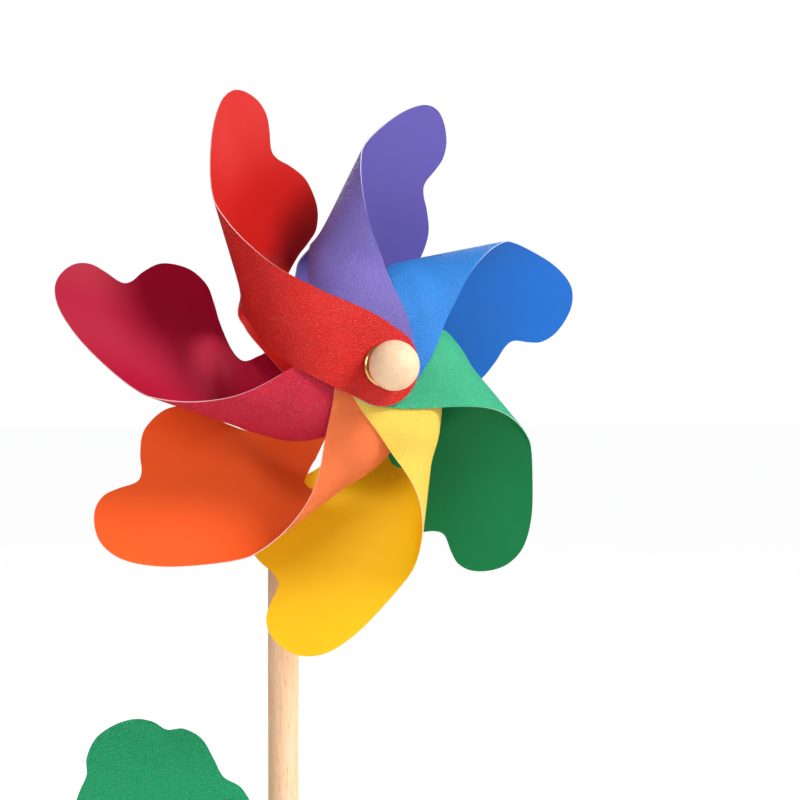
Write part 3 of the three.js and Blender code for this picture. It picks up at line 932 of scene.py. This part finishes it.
def make_pins():
    shaft, head = PIN_SHAFT * MM, PIN_HEAD * MM
    for name in PINS:
        low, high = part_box(name)
        centre = LEAF_PLANE.inverted() @ ((Vector(low) + Vector(high)) / 2)
        front, back = centre.y - PIN_HALF_LENGTH * MM, centre.y + PIN_HALF_LENGTH * MM
        under_head = back - PIN_HEAD_THICKNESS * MM
        profile = [
            (0, front), (shaft, front + shaft), (shaft, under_head), (head, under_head),
            (head * 0.96, back - 0.3 * MM), (head * 0.75, back - 0.08 * MM), (0, back),
        ]
        bm = turned(profile, (-PIN_SET_IN * MM, 0, centre.z), steps=24, rounding=0.08 * MM)
        bmesh.ops.transform(bm, matrix=LEAF_PLANE, verts=bm.verts[:])
        brass = metal(f"{name.replace('_', ' ')} brass", (0, 0, centre.z), "#cfa050", 0.25)
        piece = f"brass_{name}"
        make_piece(piece, to_mesh(bm, piece), [brass], STICK, [name])


# ---------------------------------------------------------------- camera, floor and lights
CAMERA_PLACE = (24.9, 0.64)  # turn and rise of the line from the camera to the hub
CAMERA_AIM = (25.3, -0.14)
CAMERA_DISTANCE = 0.9
CAMERA_LENS = 113.2


def direction(turn, rise):
    """A unit vector: turn 0 points along +Y and goes round towards +X, rise goes up."""
    turn, rise = math.radians(turn), math.radians(rise)
    return Vector((math.sin(turn) * math.cos(rise), math.cos(turn) * math.cos(rise), math.sin(rise)))


def make_camera():
    data = bpy.data.cameras.new("camera")
    data.sensor_width = 36
    data.lens = CAMERA_LENS
    camera = bpy.data.objects.new("camera", data)
    camera.location = HUB - direction(*CAMERA_PLACE) * CAMERA_DISTANCE
    camera.rotation_euler = direction(*CAMERA_AIM).to_track_quat("-Z", "Y").to_euler()
    bpy.context.scene.collection.objects.link(camera)
    bpy.context.scene.camera = camera


def make_floor():
    """A pale floor that looks evenly bright to the camera but lights nothing by itself."""
    bm = bmesh.new()
    bmesh.ops.create_grid(bm, x_segments=2, y_segments=2, size=30)
    material, tree, shader = new_material(
        "pale floor",
        Roughness=0.9,
        Specular_IOR_Level=0.1,
        Emission_Strength=0.74,
    )
    seen = node(tree, "ShaderNodeLightPath").outputs["Is Camera Ray"]
    tree.links.new(mix_colour(tree, seen, (0, 0, 0, 1), (1, 1, 1, 1)), shader.inputs["Emission Color"])
    speckle = node(tree, "ShaderNodeTexNoise", {"Vector": placed(tree), "Scale": 3.0, "Detail": 2.0})
    shade = mix_colour(tree, speckle.outputs["Fac"], paint("#fbfaf8"), paint("#f4f3f1"))
    tree.links.new(shade, shader.inputs["Base Color"])
    mesh = to_mesh(bm, "floor")
    mesh.materials.append(material)
    floor = bpy.data.objects.new("floor", mesh)
    bpy.context.scene.collection.objects.link(floor)


def add_light(name, place, size, power, colour):
    data = bpy.data.lights.new(name, "AREA")
    data.shape = "DISK"
    data.size = size
    data.energy = power
    data.color = colour
    light = bpy.data.objects.new(name, data)
    light.location = place
    light.rotation_euler = (HUB - Vector(place)).to_track_quat("-Z", "Y").to_euler()
    bpy.context.scene.collection.objects.link(light)


def make_lights():
    """A key from the right, a side light, a left fill, a back light and a plain white studio."""
    add_light("key", HUB + Vector((0.85, -1.2, 1.2)), 0.8, 35, (1.0, 0.97, 0.93))
    add_light("side", HUB + Vector((1.6, -0.4, 0.6)), 0.8, 10, (1.0, 1.0, 1.0))
    add_light("fill", HUB + Vector((-1.4, -1.4, 0.6)), 1.0, 15, (0.94, 0.97, 1.0))
    add_light("back", HUB + Vector((0.2, 1.8, 1.1)), 1.2, 16, (1.0, 1.0, 1.0))
    world = bpy.data.worlds.new("studio")
    world.use_nodes = True
    tree = world.node_tree
    seen = node(tree, "ShaderNodeBackground", {"Color": (1, 1, 1, 1), "Strength": 1.0})
    felt = node(tree, "ShaderNodeBackground", {"Color": (0.96, 0.98, 1, 1), "Strength": 0.26})
    path = node(tree, "ShaderNodeLightPath")
    either = node(
        tree,
        "ShaderNodeMixShader",
        {0: path.outputs["Is Camera Ray"], 1: felt.outputs[0], 2: seen.outputs[0]},
    )
    tree.links.new(either.outputs[0], tree.nodes["World Output"].inputs["Surface"])
    bpy.context.scene.world = world
    bpy.context.scene.view_settings.view_transform = "Standard"


# ---------------------------------------------------------------- assembly
make_camera()
make_petals()
make_knob()
make_front_washer()
make_small_washers()
make_spacer()
make_bead()
make_axle()
make_cap()
make_stick()
make_leaf()
make_pins()
make_floor()
make_lights()
